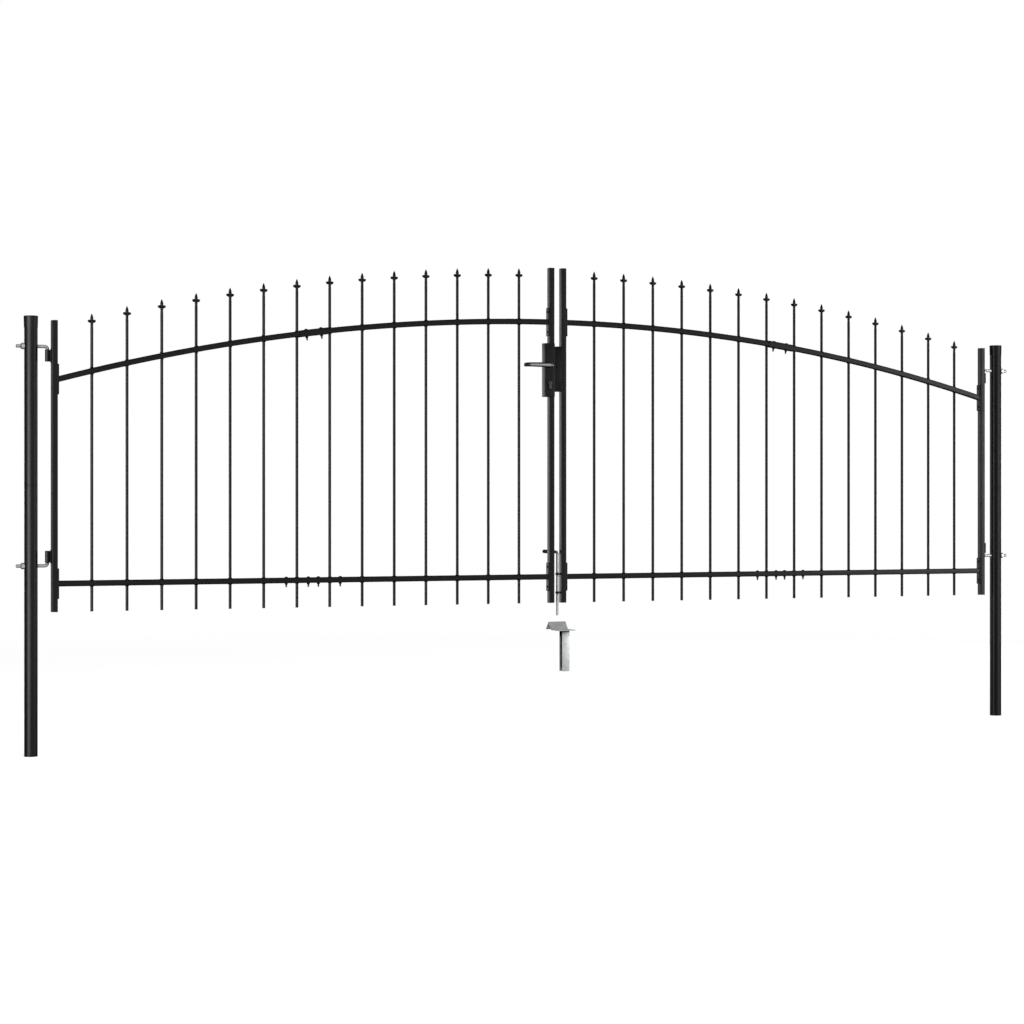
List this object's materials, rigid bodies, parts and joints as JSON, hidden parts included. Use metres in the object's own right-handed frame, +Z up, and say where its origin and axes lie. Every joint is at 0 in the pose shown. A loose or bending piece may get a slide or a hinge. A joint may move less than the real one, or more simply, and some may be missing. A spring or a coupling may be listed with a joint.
{
  "type": "double-leaf driveway gate with posts",
  "caption": "Arched double driveway gate of black tubular steel: round vertical bars with spear finials, two hinged leaves on round posts, a lever lock, a drop bolt and a ground stop.",
  "frame": {"origin": "centre of the left post's foot, the lowest face of the post that is set in the ground", "axes": "+X from the left post to the right post, +Y to the back, the side that the leaves open to, +Z up"},
  "size_m": [4.054, 0.223, 1.736],
  "materials": {
    "powder_coat": "black powder coat, satin",
    "black_plastic": "moulded, satin",
    "galvanised_steel": "zinc plated, dull",
    "cast_aluminium": "satin",
    "nickel_plate": "satin nickel"
  },
  "bodies": {
    "posts": {"ground_stop_plate": "galvanised_steel", "ground_stop_stem": "galvanised_steel", "left_bottom_hinge_bolt": "galvanised_steel", "left_hinge_nuts": "galvanised_steel", "left_post": "powder_coat", "left_post_cap": "black_plastic", "left_top_hinge_bolt": "galvanised_steel", "right_bottom_hinge_bolt": "galvanised_steel", "right_hinge_nuts": "galvanised_steel", "right_post": "powder_coat", "right_post_cap": "black_plastic", "right_top_hinge_bolt": "galvanised_steel"},
    "left_leaf": {"left_bottom_rail_inner": "powder_coat", "left_bottom_rail_outer": "powder_coat", "left_finials": "powder_coat", "left_hinge_barrels": "powder_coat", "left_hinge_stile": "powder_coat", "left_inner_bars": "powder_coat", "left_lock_stile": "powder_coat", "left_outer_bars": "powder_coat", "left_rail_end_plates": "powder_coat", "left_top_rail_inner": "powder_coat", "left_top_rail_outer": "powder_coat", "left_top_rail_sleeve": "powder_coat", "lock_case": "powder_coat", "lock_cylinder": "nickel_plate"},
    "right_leaf": {"drop_bolt_guides": "powder_coat", "lock_keep": "powder_coat", "right_bottom_rail_inner": "powder_coat", "right_bottom_rail_outer": "powder_coat", "right_finials": "powder_coat", "right_hinge_barrels": "powder_coat", "right_hinge_stile": "powder_coat", "right_inner_bars": "powder_coat", "right_meeting_stile": "powder_coat", "right_outer_bars": "powder_coat", "right_rail_end_plates": "powder_coat", "right_top_rail_inner": "powder_coat", "right_top_rail_outer": "powder_coat", "right_top_rail_sleeve": "powder_coat"},
    "lever": {"lever_handle": "cast_aluminium", "lever_spindle": "cast_aluminium"},
    "drop_bolt": {"drop_bolt_grip": "black_plastic", "drop_bolt_rod": "galvanised_steel"}
  },
  "joints": [
    {"name": "left_leaf_swing", "type": "hinge", "parent": "posts", "child": "left_leaf", "pos_m": [0.057, 0, 0.7], "axis": [0, 0, 1], "range_deg": [0, 100]},
    {"name": "right_leaf_swing", "type": "hinge", "parent": "posts", "child": "right_leaf", "pos_m": [3.895, 0, 0.7], "axis": [0, 0, -1], "range_deg": [0, 100]},
    {"name": "lever_turn", "type": "hinge", "parent": "left_leaf", "child": "lever", "pos_m": [1.9395, -0.027, 1.372], "axis": [0, -1, 0], "range_deg": [0, 40], "stiffness_Nm_per_rad": 0.6, "springref_deg": -45.84},
    {"name": "drop_bolt_slide", "type": "slide", "parent": "right_leaf", "child": "drop_bolt", "axis": [0, 0, 1], "range_m": [-0.06, 0.06]}
  ]
}
